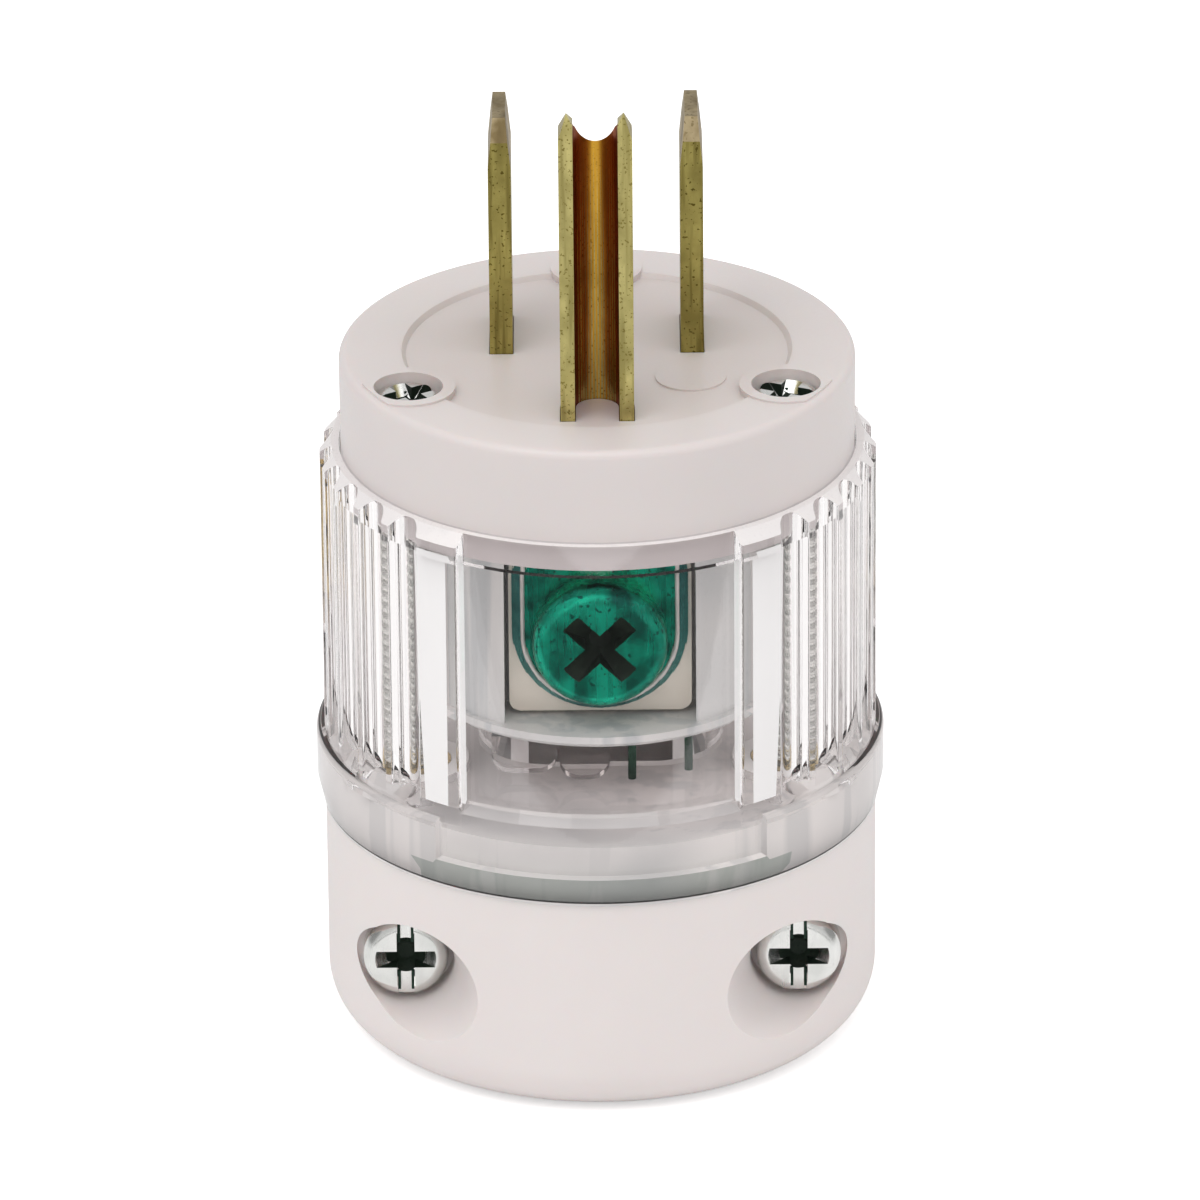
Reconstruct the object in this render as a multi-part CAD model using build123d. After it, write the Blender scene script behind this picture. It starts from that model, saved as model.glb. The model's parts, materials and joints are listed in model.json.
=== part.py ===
from build123d import *
import math
import os

# Grounded plug, stood on its rear cap with the blades up.
# +Z runs up the plug's axis, the ground pin and the open terminal window face -Y.
# All sizes are in millimetres.

# Heights above the bottom of the rear cap
cap_height = 16.0
ring_height = 5.0
housing_top = 41.7
skirt_bottom = 39.8
face_height = 48.2
plate_thickness = 4.0
block_bottom = 24.8

# The clear housing's radius, and how far the other outer forms stand off from it
housing_radius = 18.6
housing_wall = 1.75
window_recess = 0.85
ring_stand = 0.55
face_inset = 1.4
cap_inset = 0.0
cap_bottom_round = 3.5

# Clearances between pieces
slide_gap = 0.1
press_gap = 0.05
loose_gap = 0.3

# How far a cutting shape runs past the face it opens, and the same where faces would touch
overrun = 1.0
sliver = 0.01

# Front body face
skirt_wall = 2.1
skirt_draft = 0.05
rim_round = 0.6
band_inner_radius = 13.0
band_rise = 0.3
pad_radius = 3.1
pad_rise = 0.15
rear_pad_y = 13.3
plain_pad_radius = 2.35
plain_pad_rise = 0.12
plain_pad_x = 6.2
plain_pad_y = -4.4

# Blades
blade_spacing = 12.7
blade_width = 6.35
blade_thickness = 1.52
blade_length = 16.3
blade_y = 2.9
blade_bevel_height = 3.3
blade_tip_thickness = 0.85
blade_corner_chamfer = 0.9
blade_corner_drop = 1.45

# Ground pin
ground_offset = 11.9
ground_width = 4.83
ground_depth = 4.65
ground_wall = 0.95
ground_length = 21.65
ground_cut_knee = 2.9
ground_cut_knee_drop = 2.25
ground_cut_drop = 5.2
ground_side_chamfer_height = 2.1
ground_side_chamfer = 0.58
ground_inner_chamfer = 0.5
ground_inner_chamfer_height = 1.0

# Terminals under the face
terminal_foot_gap = 0.4
clamp_plate_width = 12.0
clamp_plate_height = 12.2
clamp_plate_thickness = 1.2
clamp_plate_lip = 0.6
clamp_plate_corner = 0.8
clamp_lip_inset = 1.5
clamp_lip_wall = 0.5
washer_radius = 5.75
washer_thickness = 1.1
washer_bevel = 0.7
washer_top_inset = 0.2
terminal_head_radius = 4.4
terminal_head_height = 2.5
terminal_shank_radius = 1.95
terminal_shank_length = 5.9

# Wiring block
block_clearance = 0.3
block_radius = 12.1
block_collar_depth = 0.5
ledge_radius = 12.6
ledge_thickness = 0.8
ledge_edge_round = 0.3
chamber_end_gap = 0.5
chamber_side_gap = 0.3
screw_channel_radius = 2.2
shank_end_wall = 0.8

# Clear housing
mouth_depth = 2.4
deck_thickness = 1.6
deck_rise = 0.4
socket_wall = 1.9
collar_opening = 14.0
collar_corner = 3.5
collar_wall = 1.2
window_half_angle = 30.0
post_half_angle = 39.0
flute_pitch = 10.2
flute_count = 10
flute_radius = 1.35
flute_depth = 0.85
flute_end_gap = 0.4
flute_end_height = 1.3
rib_round = 0.25
mouth_bevel = 0.8
ring_bevel = 0.4
ring_bevel_height = 1.8
ring_edge_round = 0.35
ring_recess = 0.7
ring_recess_half_angle = 35.0
ring_lip_height = 2.1

# Assembly screws through the face
assembly_inset = 3.15
assembly_angle = 27.5
assembly_head_radius = 2.2
assembly_head_height = 2.0
assembly_head_sink = 0.45
assembly_shank_radius = 1.45
assembly_thread_depth = 0.3
insert_radius = 2.6
insert_length = 3.6
insert_mouth = 0.3
screw_engagement = 2.9
insert_post_radius = 3.6

# Cord clamp in the rear cap
spigot_wall_gap = 0.2
cord_mouth_chamfer = 0.8
grip_radius = 8.6
cord_lip = 0.4
cap_floor = 4.4
jaw_height = 7.6
jaw_wall = 2.8
jaw_ear_depth = 4.2
jaw_inset = 1.1
grip_rib_height = 0.4
grip_rib_root = 0.2
grip_rib_thickness = 1.2
grip_rib_seam = 1.5
funnel_radius = 10.8
clamp_screw_inset = 5.4
clamp_screw_height = 8.0
clamp_head_radius = 2.85
clamp_head_height = 2.2
clamp_seat_y = -8.2
clamp_shank_radius = 1.5
clamp_insert_radius = 2.1
clamp_insert_length = 3.6
clamp_bore_radius = 3.3
clamp_dish_start = 2.6
clamp_dish_slope = 0.27
clamp_dish_reach = 9.0
locating_hole_radius = 1.1
locating_hole_depth = 3.0
locating_hole_y = -13.4

# Drive recesses in the screw heads
slot_width = 1.1
slot_depth = 0.8
cross_arm = 1.2
cross_depth = 1.5
cross_share = 0.72
terminal_cross_arm = 1.4
terminal_cross_depth = 2.0
terminal_cross_share = 0.62
head_round_share = 0.35

# Heights and radii that follow from the sizes above
housing_bore_radius = housing_radius - housing_wall
window_radius = housing_radius - window_recess
ring_radius = housing_radius + ring_stand
face_radius = housing_radius - face_inset
cap_radius = housing_radius - cap_inset
ring_top = cap_height + ring_height
deck_top = ring_top + deck_rise
deck_bottom = deck_top - deck_thickness
plate_bottom = face_height - plate_thickness
spigot_top = deck_bottom - spigot_wall_gap
socket_radius = ring_radius - socket_wall
spigot_radius = socket_radius - spigot_wall_gap
jaw_radius = spigot_radius - jaw_inset
cord_radius = grip_radius - cord_lip
skirt_bore_radius = face_radius - skirt_wall
ledge_top = block_bottom + ledge_thickness
terminal_screw_height = ledge_top + loose_gap + clamp_plate_height / 2
chamber_ceiling = terminal_screw_height + clamp_plate_height / 2 + chamber_end_gap
terminal_top = chamber_ceiling - loose_gap
terminal_bottom = ledge_top + terminal_foot_gap
terminal_width = clamp_plate_width - 2 * (clamp_lip_wall + press_gap)
assembly_radius = face_radius - assembly_inset
assembly_x = assembly_radius * math.cos(math.radians(assembly_angle))
assembly_y = -assembly_radius * math.sin(math.radians(assembly_angle))
clamp_screw_x = cap_radius - clamp_screw_inset
ground_y = blade_y - ground_offset
ground_front = ground_y - ground_width / 2
ground_back = ground_front + ground_depth
jaw_bottom = cap_floor + slide_gap * 3
blade_x = blade_spacing / 2
left_and_right = {"left": -1, "right": 1}
up = (0, 0, 1)


def block(x_low, x_high, y_low, y_high, z_low, z_high):
    size = (x_high - x_low, y_high - y_low, z_high - z_low)
    middle = Pos((x_low + x_high) / 2, (y_low + y_high) / 2, (z_low + z_high) / 2)
    return middle * Box(*size)


def rod(start, direction, radius, length):
    upright = Cylinder(radius, length, align=(Align.CENTER, Align.CENTER, Align.MIN))
    return Plane(origin=start, z_dir=direction) * upright


def cone(start, direction, radius, end_radius, length):
    upright = Cone(radius, end_radius, length, align=(Align.CENTER, Align.CENTER, Align.MIN))
    return Plane(origin=start, z_dir=direction) * upright


def turned(points):
    profile = make_face(Polyline(*points, close=True))
    return revolve(Plane.XZ * profile, axis=Axis.Z)


# A pan head with its seat at the origin and its head up, on a shank with a chamfered end.
def pan_screw(head_radius, head_height, shank_radius, shank_length):
    head = Cylinder(head_radius, head_height, align=(Align.CENTER, Align.CENTER, Align.MIN))
    head = fillet(head.edges().sort_by(Axis.Z)[-1], head_height * head_round_share)
    shank = Pos(0, 0, -shank_length) * Cylinder(
        shank_radius, shank_length, align=(Align.CENTER, Align.CENTER, Align.MIN)
    )
    shank = chamfer(shank.edges().sort_by(Axis.Z)[0], shank_radius * 0.3)
    return head + shank


# The tapered cross that sinks into a head of that height.
def cross_recess(head_height, reach, arm, depth):
    arms = block(-reach, reach, -arm / 2, arm / 2, 0, head_height + overrun)
    arms += block(-arm / 2, arm / 2, -reach, reach, 0, head_height + overrun)
    point = Pos(0, 0, head_height - depth) * Cone(
        arm / 2, reach, depth, align=(Align.CENTER, Align.CENTER, Align.MIN)
    )
    return arms & point


# A screw with its head seat at the start point and its head towards the direction.
# A straight slot crosses the whole head, and a cross recess sinks deeper in its middle.
def combination_screw(start, direction, across, head_radius, head_height, shank_radius, shank_length):
    screw = pan_screw(head_radius, head_height, shank_radius, shank_length)
    screw -= block(
        -head_radius - overrun, head_radius + overrun,
        -slot_width / 2, slot_width / 2,
        head_height - slot_depth, head_height + overrun,
    )
    screw -= cross_recess(head_height, head_radius * cross_share, cross_arm, cross_depth)
    return Plane(origin=start, x_dir=across, z_dir=direction) * screw


# A turned brass bush with a plain bore, where its thread would be, and a chamfered mouth.
def threaded_insert(start, direction, radius, bore_radius, length):
    bush = rod(start, direction, radius, length)
    mouth = cone(start, direction, bore_radius + insert_mouth, bore_radius, insert_mouth)
    return bush - rod(start, direction, bore_radius, length) - mouth


# Section of the folded ground pin: a round back and two straight lips that open to -Y.
def ground_section(grow=0.0):
    outer_half = ground_width / 2 + grow
    inner_half = ground_width / 2 - ground_wall - grow
    back_centre = ground_back - ground_width / 2
    outer = Pos(0, back_centre) * Circle(outer_half)
    outer += Pos(0, (ground_front - grow + back_centre) / 2) * Rectangle(
        2 * outer_half, back_centre - ground_front + grow
    )
    inner = Pos(0, back_centre) * Circle(inner_half)
    inner += Pos(0, (ground_front - overrun + back_centre) / 2) * Rectangle(
        2 * inner_half, back_centre - ground_front + overrun
    )
    return outer - inner


# Moulded front: a thick face plate with a skirt, a raised outer band and four raised pads.
def make_front_body():
    outline = make_face(
        Polyline(
            (0, plate_bottom),
            (skirt_bore_radius, plate_bottom),
            (skirt_bore_radius, skirt_bottom),
            (face_radius - skirt_draft, skirt_bottom),
            (face_radius, face_height),
            (band_inner_radius, face_height),
            (band_inner_radius - band_rise, face_height - band_rise),
            (0, face_height - band_rise),
            close=True,
        )
    )
    rim = outline.vertices().sort_by_distance((face_radius, face_height))[0]
    outline = fillet(rim, rim_round)
    body = revolve(Plane.XZ * outline, axis=Axis.Z)
    pad_bottom = face_height - band_rise * 2
    pad_height = band_rise * 2 + pad_rise
    pad_places = [(-assembly_x, assembly_y), (assembly_x, assembly_y), (0, rear_pad_y)]
    for x, y in pad_places:
        pad = rod((x, y, pad_bottom), up, pad_radius, pad_height)
        inside_rim = rod((0, 0, pad_bottom), up, face_radius - rim_round, pad_height)
        body += pad & inside_rim
    body += rod((plain_pad_x, plain_pad_y, pad_bottom), up, plain_pad_radius, band_rise + plain_pad_rise)
    for side in left_and_right.values():
        head_bottom = face_height + pad_rise - assembly_head_sink - assembly_head_height
        body -= rod(
            (side * assembly_x, assembly_y, skirt_bottom), up,
            assembly_shank_radius + assembly_thread_depth + slide_gap, face_height - skirt_bottom,
        )
        body -= rod(
            (side * assembly_x, assembly_y, head_bottom), up,
            assembly_head_radius + slide_gap, plate_thickness,
        )
        half_slot = blade_thickness / 2 + press_gap
        half_width = blade_width / 2 + press_gap
        body -= block(
            side * blade_x - half_slot, side * blade_x + half_slot,
            blade_y - half_width, blade_y + half_width,
            plate_bottom, face_height,
        )
    pin_slot = Pos(0, 0, plate_bottom) * extrude(ground_section(press_gap), plate_thickness)
    return body - pin_slot


# Moulded block behind the face, with an open chamber for each of the three terminals.
def make_wiring_block():
    collar_radius = skirt_bore_radius - block_clearance
    collar_bottom = skirt_bottom - block_collar_depth
    body = turned([
        (0, block_bottom),
        (ledge_radius - ledge_edge_round, block_bottom),
        (ledge_radius, block_bottom + ledge_edge_round),
        (ledge_radius, ledge_top),
        (block_radius, ledge_top),
        (block_radius, collar_bottom),
        (collar_radius, collar_bottom),
        (collar_radius, plate_bottom),
        (0, plate_bottom),
    ])
    reach = collar_radius + overrun
    plate_half = clamp_plate_width / 2 + chamber_side_gap
    body -= block(-plate_half, plate_half, -reach, ground_back, ledge_top, chamber_ceiling)
    pin_half = ground_width / 2 + press_gap
    body -= block(
        -pin_half, pin_half, ground_front - press_gap, ground_back + press_gap, chamber_ceiling, plate_bottom
    )
    body -= rod(
        (0, ground_back, terminal_screw_height), (0, 1, 0),
        terminal_shank_radius + loose_gap, terminal_shank_length - washer_thickness - clamp_plate_thickness,
    )
    inner_face = blade_x - blade_thickness / 2
    outer_face = blade_x + blade_thickness / 2
    for side in left_and_right.values():
        chamber_ends = sorted((side * outer_face, side * reach))
        body -= block(
            *chamber_ends, blade_y - plate_half, blade_y + plate_half, ledge_top, chamber_ceiling
        )
        strap_ends = sorted((side * inner_face, side * (outer_face + press_gap)))
        strap_half = clamp_plate_width / 2 + press_gap
        body -= block(
            *strap_ends, blade_y - strap_half, blade_y + strap_half, ledge_top, chamber_ceiling
        )
        blade_half = blade_width / 2 + press_gap
        body -= block(
            *strap_ends, blade_y - blade_half, blade_y + blade_half, chamber_ceiling, plate_bottom
        )
        body -= rod(
            (side * inner_face, blade_y, terminal_screw_height), (-side, 0, 0),
            terminal_shank_radius + loose_gap, inner_face - shank_end_wall,
        )
        channel = rod((side * assembly_x, assembly_y, 0), up, screw_channel_radius, face_height)
        channel_ends = sorted((side * assembly_x, side * reach))
        channel += block(
            *channel_ends,
            assembly_y - screw_channel_radius, assembly_y + screw_channel_radius,
            0, face_height,
        )
        body -= channel
    return body


# The front or back sector of everything outside a radius.
def sector_outside(radius, half_angle, facing):
    reach = ring_radius + overrun
    spread = reach * math.tan(math.radians(half_angle))
    wedge = make_face(Polyline((0, 0), (spread, facing * reach), (-spread, facing * reach), close=True))
    return wedge - Circle(radius)


# Outline of the wall above the ring: two smooth windows, and rounded ribs between flutes.
def fluted_outline():
    outline = Circle(housing_radius)
    for facing in (-1, 1):
        outline -= sector_outside(window_radius, window_half_angle, facing)
    first_flute = post_half_angle + flute_pitch / 2
    centre = housing_radius - flute_depth + flute_radius
    for side in left_and_right.values():
        for step in range(flute_count):
            angle = math.radians(first_flute + step * flute_pitch)
            place = Pos(side * centre * math.sin(angle), -centre * math.cos(angle))
            outline -= place * Circle(flute_radius)
    crests = [v for v in outline.vertices() if math.hypot(v.X, v.Y) > housing_radius - sliver]
    return fillet(crests, rib_round)


# Clear moulded housing: fluted wall, ring flange, inner deck, wire collar and cap socket.
def make_clear_housing():
    wall_bottom = ring_top - flute_end_gap
    slope_top = ring_top + flute_end_gap + flute_end_height
    inner_radius = housing_bore_radius - deck_thickness
    foot = make_face(
        Polyline(
            (inner_radius, deck_bottom),
            (socket_radius, deck_bottom),
            (socket_radius, cap_height),
            (ring_radius - ring_bevel, cap_height),
            (ring_radius, cap_height + ring_bevel_height),
            (ring_radius, ring_top),
            (housing_radius, ring_top),
            (housing_radius, ring_top + flute_end_gap),
            (window_radius - flute_end_gap, slope_top),
            (inner_radius, slope_top),
            close=True,
        )
    )
    shoulder = foot.vertices().sort_by_distance((ring_radius, ring_top))[0]
    foot = fillet(shoulder, ring_edge_round)
    body = Pos(0, 0, wall_bottom) * extrude(fluted_outline(), housing_top - wall_bottom)
    ring = revolve(Plane.XZ * foot, axis=Axis.Z)
    for facing in (-1, 1):
        sector = sector_outside(ring_radius - ring_recess, ring_recess_half_angle, facing)
        ring -= Pos(0, 0, cap_height + ring_lip_height) * extrude(sector, ring_height)
    body += ring
    body -= turned([
        (housing_radius - mouth_bevel, housing_top + sliver),
        (housing_radius + overrun, housing_top - mouth_bevel - overrun),
        (housing_radius + overrun, housing_top + sliver),
    ])
    body -= rod((0, 0, deck_top), up, housing_bore_radius, housing_top)
    body -= rod((0, 0, housing_top - mouth_depth), up, face_radius + slide_gap, housing_top)
    body += rod((0, 0, deck_bottom), up, housing_bore_radius, deck_thickness)
    collar_outer = collar_opening + 2 * collar_wall
    collar_height = block_bottom - slide_gap - deck_top
    collar = RectangleRounded(collar_outer, collar_outer, collar_corner + collar_wall)
    opening = RectangleRounded(collar_opening, collar_opening, collar_corner)
    body += Pos(0, 0, deck_top) * extrude(collar, collar_height)
    body -= Pos(0, 0, deck_bottom) * extrude(opening, collar_height + 2 * deck_thickness)
    for side in left_and_right.values():
        body -= rod(
            (side * assembly_x, assembly_y, deck_bottom), up,
            insert_post_radius + slide_gap, deck_thickness,
        )
    return body


# Moulded rear cap: cord entry, spigot into the ring, insert posts and the fixed clamp seat.
def make_rear_cap():
    outline = make_face(
        Polyline(
            (0, 0),
            (cap_radius, 0),
            (cap_radius, cap_height),
            (spigot_radius, cap_height),
            (spigot_radius, spigot_top),
            (0, spigot_top),
            close=True,
        )
    )
    heel = outline.vertices().sort_by_distance((cap_radius, 0))[0]
    outline = fillet(heel, cap_bottom_round)
    body = revolve(Plane.XZ * outline, axis=Axis.Z)
    jaw_top = jaw_bottom + jaw_height
    for side in left_and_right.values():
        post = rod((side * assembly_x, assembly_y, cap_height), up, insert_post_radius, deck_top - cap_height)
        body += post & rod((0, 0, cap_height), up, spigot_radius, deck_top)
    body -= rod((0, 0, 0), up, cord_radius, spigot_top)
    body -= cone((0, 0, 0), up, cord_radius + cord_mouth_chamfer, cord_radius, cord_mouth_chamfer)
    body -= rod((0, 0, cap_floor), up, grip_radius, spigot_top)
    body -= cone((0, 0, jaw_top), up, grip_radius, funnel_radius, spigot_top - jaw_top)
    jaw_slot = block(
        -cap_radius, cap_radius,
        -slide_gap * 5, grip_radius + jaw_wall + loose_gap,
        cap_floor, deck_top,
    )
    body -= jaw_slot & rod((0, 0, cap_floor), up, jaw_radius + loose_gap / 2, deck_top)
    for height in grip_rib_heights():
        rib = rod((0, 0, height), up, grip_radius + grip_rib_root, grip_rib_thickness)
        rib -= rod((0, 0, height), up, grip_radius - grip_rib_height, grip_rib_thickness)
        body += rib & block(-cap_radius, cap_radius, -cap_radius, -grip_rib_seam, 0, spigot_top)
    for side in left_and_right.values():
        place = (side * clamp_screw_x, clamp_seat_y, clamp_screw_height)
        body -= rod(place, (0, -1, 0), clamp_bore_radius, cap_radius)
        body -= rod(place, (0, 1, 0), clamp_shank_radius + slide_gap, -clamp_seat_y)
        dish = (side * clamp_screw_x, clamp_seat_y - clamp_dish_start, clamp_screw_height)
        dish_end = clamp_bore_radius + clamp_dish_slope * clamp_dish_reach
        body -= cone(dish, (0, -1, 0), clamp_bore_radius, dish_end, clamp_dish_reach)
        body -= rod(
            (side * assembly_x, assembly_y, deck_top - insert_length - slide_gap), up,
            insert_radius + press_gap, insert_length + overrun,
        )
    hole_start = (0, locating_hole_y, spigot_top)
    return body - rod(hole_start, (0, 0, -1), locating_hole_radius, locating_hole_depth)


# Heights of the two gripping ribs round the cord seat.
def grip_rib_heights():
    quarter = jaw_height / 4
    return [jaw_bottom + quarter - grip_rib_thickness / 2, jaw_bottom + 3 * quarter - grip_rib_thickness / 2]


# Loose inner jaw of the cord clamp: an arch round the cord and two ears for its inserts.
def make_clamp_jaw():
    outer = grip_radius + jaw_wall
    body = rod((0, 0, jaw_bottom), up, outer, jaw_height)
    ears = block(-jaw_radius, jaw_radius, 0, jaw_ear_depth, jaw_bottom, jaw_bottom + jaw_height)
    body += ears & rod((0, 0, jaw_bottom), up, jaw_radius, jaw_height)
    body &= block(-jaw_radius, jaw_radius, 0, outer, jaw_bottom, jaw_bottom + jaw_height)
    body -= rod((0, 0, jaw_bottom), up, grip_radius, jaw_height)
    for height in grip_rib_heights():
        rib = rod((0, 0, height), up, grip_radius + grip_rib_root, grip_rib_thickness)
        rib -= rod((0, 0, height), up, grip_radius - grip_rib_height, grip_rib_thickness)
        body += rib & block(-jaw_radius, jaw_radius, grip_rib_seam, outer, 0, spigot_top)
    for side in left_and_right.values():
        body -= rod(
            (side * clamp_screw_x, 0, clamp_screw_height), (0, 1, 0),
            clamp_insert_radius + press_gap, clamp_insert_length + slide_gap,
        )
        body -= rod(
            (side * clamp_screw_x, 0, clamp_screw_height), (0, 1, 0),
            clamp_shank_radius + slide_gap, jaw_ear_depth + overrun,
        )
    return body


# Flat brass blade with a bevelled tip, which widens into its screw terminal under the face.
def make_blade(side):
    tip = face_height + blade_length
    half = blade_thickness / 2
    half_tip = blade_tip_thickness / 2
    edge_on = make_face(
        Polyline(
            (-half, terminal_bottom),
            (half, terminal_bottom),
            (half, tip - blade_bevel_height),
            (half_tip, tip),
            (-half_tip, tip),
            (-half, tip - blade_bevel_height),
            close=True,
        )
    )
    half_width = blade_width / 2
    half_terminal = terminal_width / 2
    broad = make_face(
        Polyline(
            (-half_terminal, terminal_bottom),
            (half_terminal, terminal_bottom),
            (half_terminal, terminal_top),
            (half_width, terminal_top),
            (half_width, tip - blade_corner_drop),
            (half_width - blade_corner_chamfer, tip),
            (-half_width + blade_corner_chamfer, tip),
            (-half_width, tip - blade_corner_drop),
            (-half_width, terminal_top),
            (-half_terminal, terminal_top),
            close=True,
        )
    )
    across = Plane(origin=(0, half_terminal, 0), x_dir=(1, 0, 0), z_dir=(0, -1, 0))
    slab = across * extrude(edge_on, terminal_width)
    along = Plane(origin=(-half, 0, 0), x_dir=(0, 1, 0), z_dir=(1, 0, 0))
    shape = slab & (along * extrude(broad, blade_thickness))
    blade = Pos(side * blade_x, blade_y, 0) * shape
    hole_start = (side * (blade_x - blade_thickness), blade_y, terminal_screw_height)
    return blade - rod(
        hole_start, (side, 0, 0), terminal_shank_radius + press_gap, blade_thickness * 2
    )


# Folded brass ground pin with a slanted open end, which flattens into its screw terminal.
def make_ground_pin():
    tip = face_height + ground_length
    pin = Pos(0, 0, terminal_top) * extrude(ground_section(), tip - terminal_top)
    slant = make_face(
        Polyline(
            (ground_front - sliver, tip),
            (ground_front + ground_cut_knee, tip - ground_cut_knee_drop),
            (ground_back + sliver, tip - ground_cut_drop),
            (ground_back + sliver, tip + overrun),
            (ground_front - sliver, tip + overrun),
            close=True,
        )
    )
    sideways = Plane(origin=(-ground_width, 0, 0), x_dir=(0, 1, 0), z_dir=(1, 0, 0))
    pin -= sideways * extrude(slant, ground_width * 2)
    half = ground_width / 2
    inner_half = half - ground_wall
    frontwards = Plane(origin=(0, ground_back + overrun, 0), x_dir=(1, 0, 0), z_dir=(0, -1, 0))
    notch = make_face(
        Polyline(
            (-inner_half - ground_inner_chamfer, tip + sliver),
            (-inner_half + sliver, tip - ground_inner_chamfer_height),
            (inner_half - sliver, tip - ground_inner_chamfer_height),
            (inner_half + ground_inner_chamfer, tip + sliver),
            close=True,
        )
    )
    pin -= frontwards * extrude(notch, ground_depth + 2 * overrun)
    for side in left_and_right.values():
        corner = make_face(
            Polyline(
                (side * half, tip - ground_side_chamfer_height),
                (side * (half + overrun), tip - ground_side_chamfer_height),
                (side * (half + overrun), tip + overrun),
                (side * (half - ground_side_chamfer), tip + overrun),
                (side * (half - ground_side_chamfer), tip),
                close=True,
            )
        )
        pin -= frontwards * extrude(corner, ground_depth + 2 * overrun)
    strap_half = terminal_width / 2
    strap_front = ground_back - ground_wall
    strap = block(-strap_half, strap_half, strap_front, ground_back, terminal_bottom, terminal_top)
    pin += strap
    return pin - rod(
        (0, strap_front - overrun, terminal_screw_height), (0, 1, 0),
        terminal_shank_radius + press_gap, ground_wall + 2 * overrun,
    )


# Square pressure plate under a terminal screw, with folded lips beside its terminal.
def make_clamp_plate(seat, outward, sideways):
    half_width = clamp_plate_width / 2
    half_height = clamp_plate_height / 2
    thick = clamp_plate_thickness
    plate = block(-half_width, half_width, -half_height, half_height, 0, thick)
    plate = fillet(plate.edges().filter_by(Axis.Z), clamp_plate_corner)
    lip_inner = terminal_width / 2 + press_gap
    for side in (-1, 1):
        lip_ends = sorted((side * lip_inner, side * half_width))
        lip_half = half_height - clamp_lip_inset
        plate += block(*lip_ends, -lip_half, lip_half, -clamp_plate_lip, thick / 2)
    plate -= Pos(0, 0, -overrun) * Cylinder(
        terminal_shank_radius + slide_gap, thick + 2 * overrun, align=(Align.CENTER, Align.CENTER, Align.MIN)
    )
    return Plane(origin=seat, x_dir=sideways, z_dir=outward) * plate


# A point on the screw's line, that far out from the terminal's face.
def stacked(seat, outward, height):
    return tuple(s + o * height for s, o in zip(seat, outward))


# Bevelled washer between a terminal screw and its plate: round below, with straight sides above.
def make_washer(seat, outward, sideways):
    outline = Circle(washer_radius)
    top = clamp_plate_height / 2 - washer_top_inset
    outline += Pos(0, top / 2) * Rectangle(2 * washer_radius, top)
    washer = extrude(outline, washer_thickness)
    front_edges = washer.faces().sort_by(Axis.Z)[-1].edges()
    washer = chamfer(front_edges, washer_bevel)
    washer -= Cylinder(terminal_shank_radius + slide_gap, 3 * washer_thickness)
    place = stacked(seat, outward, clamp_plate_thickness)
    return Plane(origin=place, x_dir=sideways, z_dir=outward) * washer


# Terminal screw with a plain pan head and a cross recess turned by an eighth.
def make_terminal_screw(seat, outward, sideways):
    screw = pan_screw(
        terminal_head_radius, terminal_head_height, terminal_shank_radius, terminal_shank_length
    )
    recess = cross_recess(
        terminal_head_height, terminal_head_radius * terminal_cross_share,
        terminal_cross_arm, terminal_cross_depth,
    )
    screw -= Rot(0, 0, 45) * recess
    place = stacked(seat, outward, clamp_plate_thickness + washer_thickness)
    return Plane(origin=place, x_dir=sideways, z_dir=outward) * screw


nodes = {
    "front_body": make_front_body(),
    "wiring_block": make_wiring_block(),
    "clear_housing": make_clear_housing(),
    "rear_cap": make_rear_cap(),
    "clamp_jaw": make_clamp_jaw(),
    "hot_blade": make_blade(-1),
    "neutral_blade": make_blade(1),
    "ground_pin": make_ground_pin(),
}

# Each terminal has a plate, a washer and a screw on the outer face of its brass strap.
blade_face = blade_x + blade_thickness / 2
terminals = {
    "hot": ((-blade_face, blade_y, terminal_screw_height), (-1, 0, 0), (0, -1, 0)),
    "neutral": ((blade_face, blade_y, terminal_screw_height), (1, 0, 0), (0, 1, 0)),
    "ground": ((0, ground_back - ground_wall, terminal_screw_height), (0, -1, 0), (1, 0, 0)),
}
for name, (seat, outward, sideways) in terminals.items():
    nodes[name + "_clamp_plate"] = make_clamp_plate(seat, outward, sideways)
    nodes[name + "_washer"] = make_washer(seat, outward, sideways)
    nodes[name + "_terminal_screw"] = make_terminal_screw(seat, outward, sideways)

# Two long screws join the face to the cap, and two short ones close the cord clamp.
assembly_seat = face_height + pad_rise - assembly_head_sink - assembly_head_height
assembly_shank = assembly_seat - deck_top + screw_engagement
for name, side in left_and_right.items():
    nodes["assembly_screw_" + name] = combination_screw(
        (side * assembly_x, assembly_y, assembly_seat), up, (1, 0, 0),
        assembly_head_radius, assembly_head_height,
        assembly_shank_radius, assembly_shank,
    )
    nodes["assembly_insert_" + name] = threaded_insert(
        (side * assembly_x, assembly_y, deck_top), (0, 0, -1),
        insert_radius, assembly_shank_radius + press_gap, insert_length,
    )
    nodes["clamp_screw_" + name] = combination_screw(
        (side * clamp_screw_x, clamp_seat_y, clamp_screw_height), (0, -1, 0), (0, 0, 1),
        clamp_head_radius, clamp_head_height,
        clamp_shank_radius, jaw_ear_depth - clamp_seat_y,
    )
    nodes["clamp_insert_" + name] = threaded_insert(
        (side * clamp_screw_x, 0, clamp_screw_height), (0, 1, 0),
        clamp_insert_radius, clamp_shank_radius + press_gap, clamp_insert_length,
    )

os.makedirs("parts", exist_ok=True)
for name, shape in nodes.items():
    export_step(shape, "parts/" + name + ".step")
    print(name, round(shape.volume, 1))
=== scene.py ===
import json
import math

import bmesh
import bpy
from mathutils import Matrix, Vector


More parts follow.
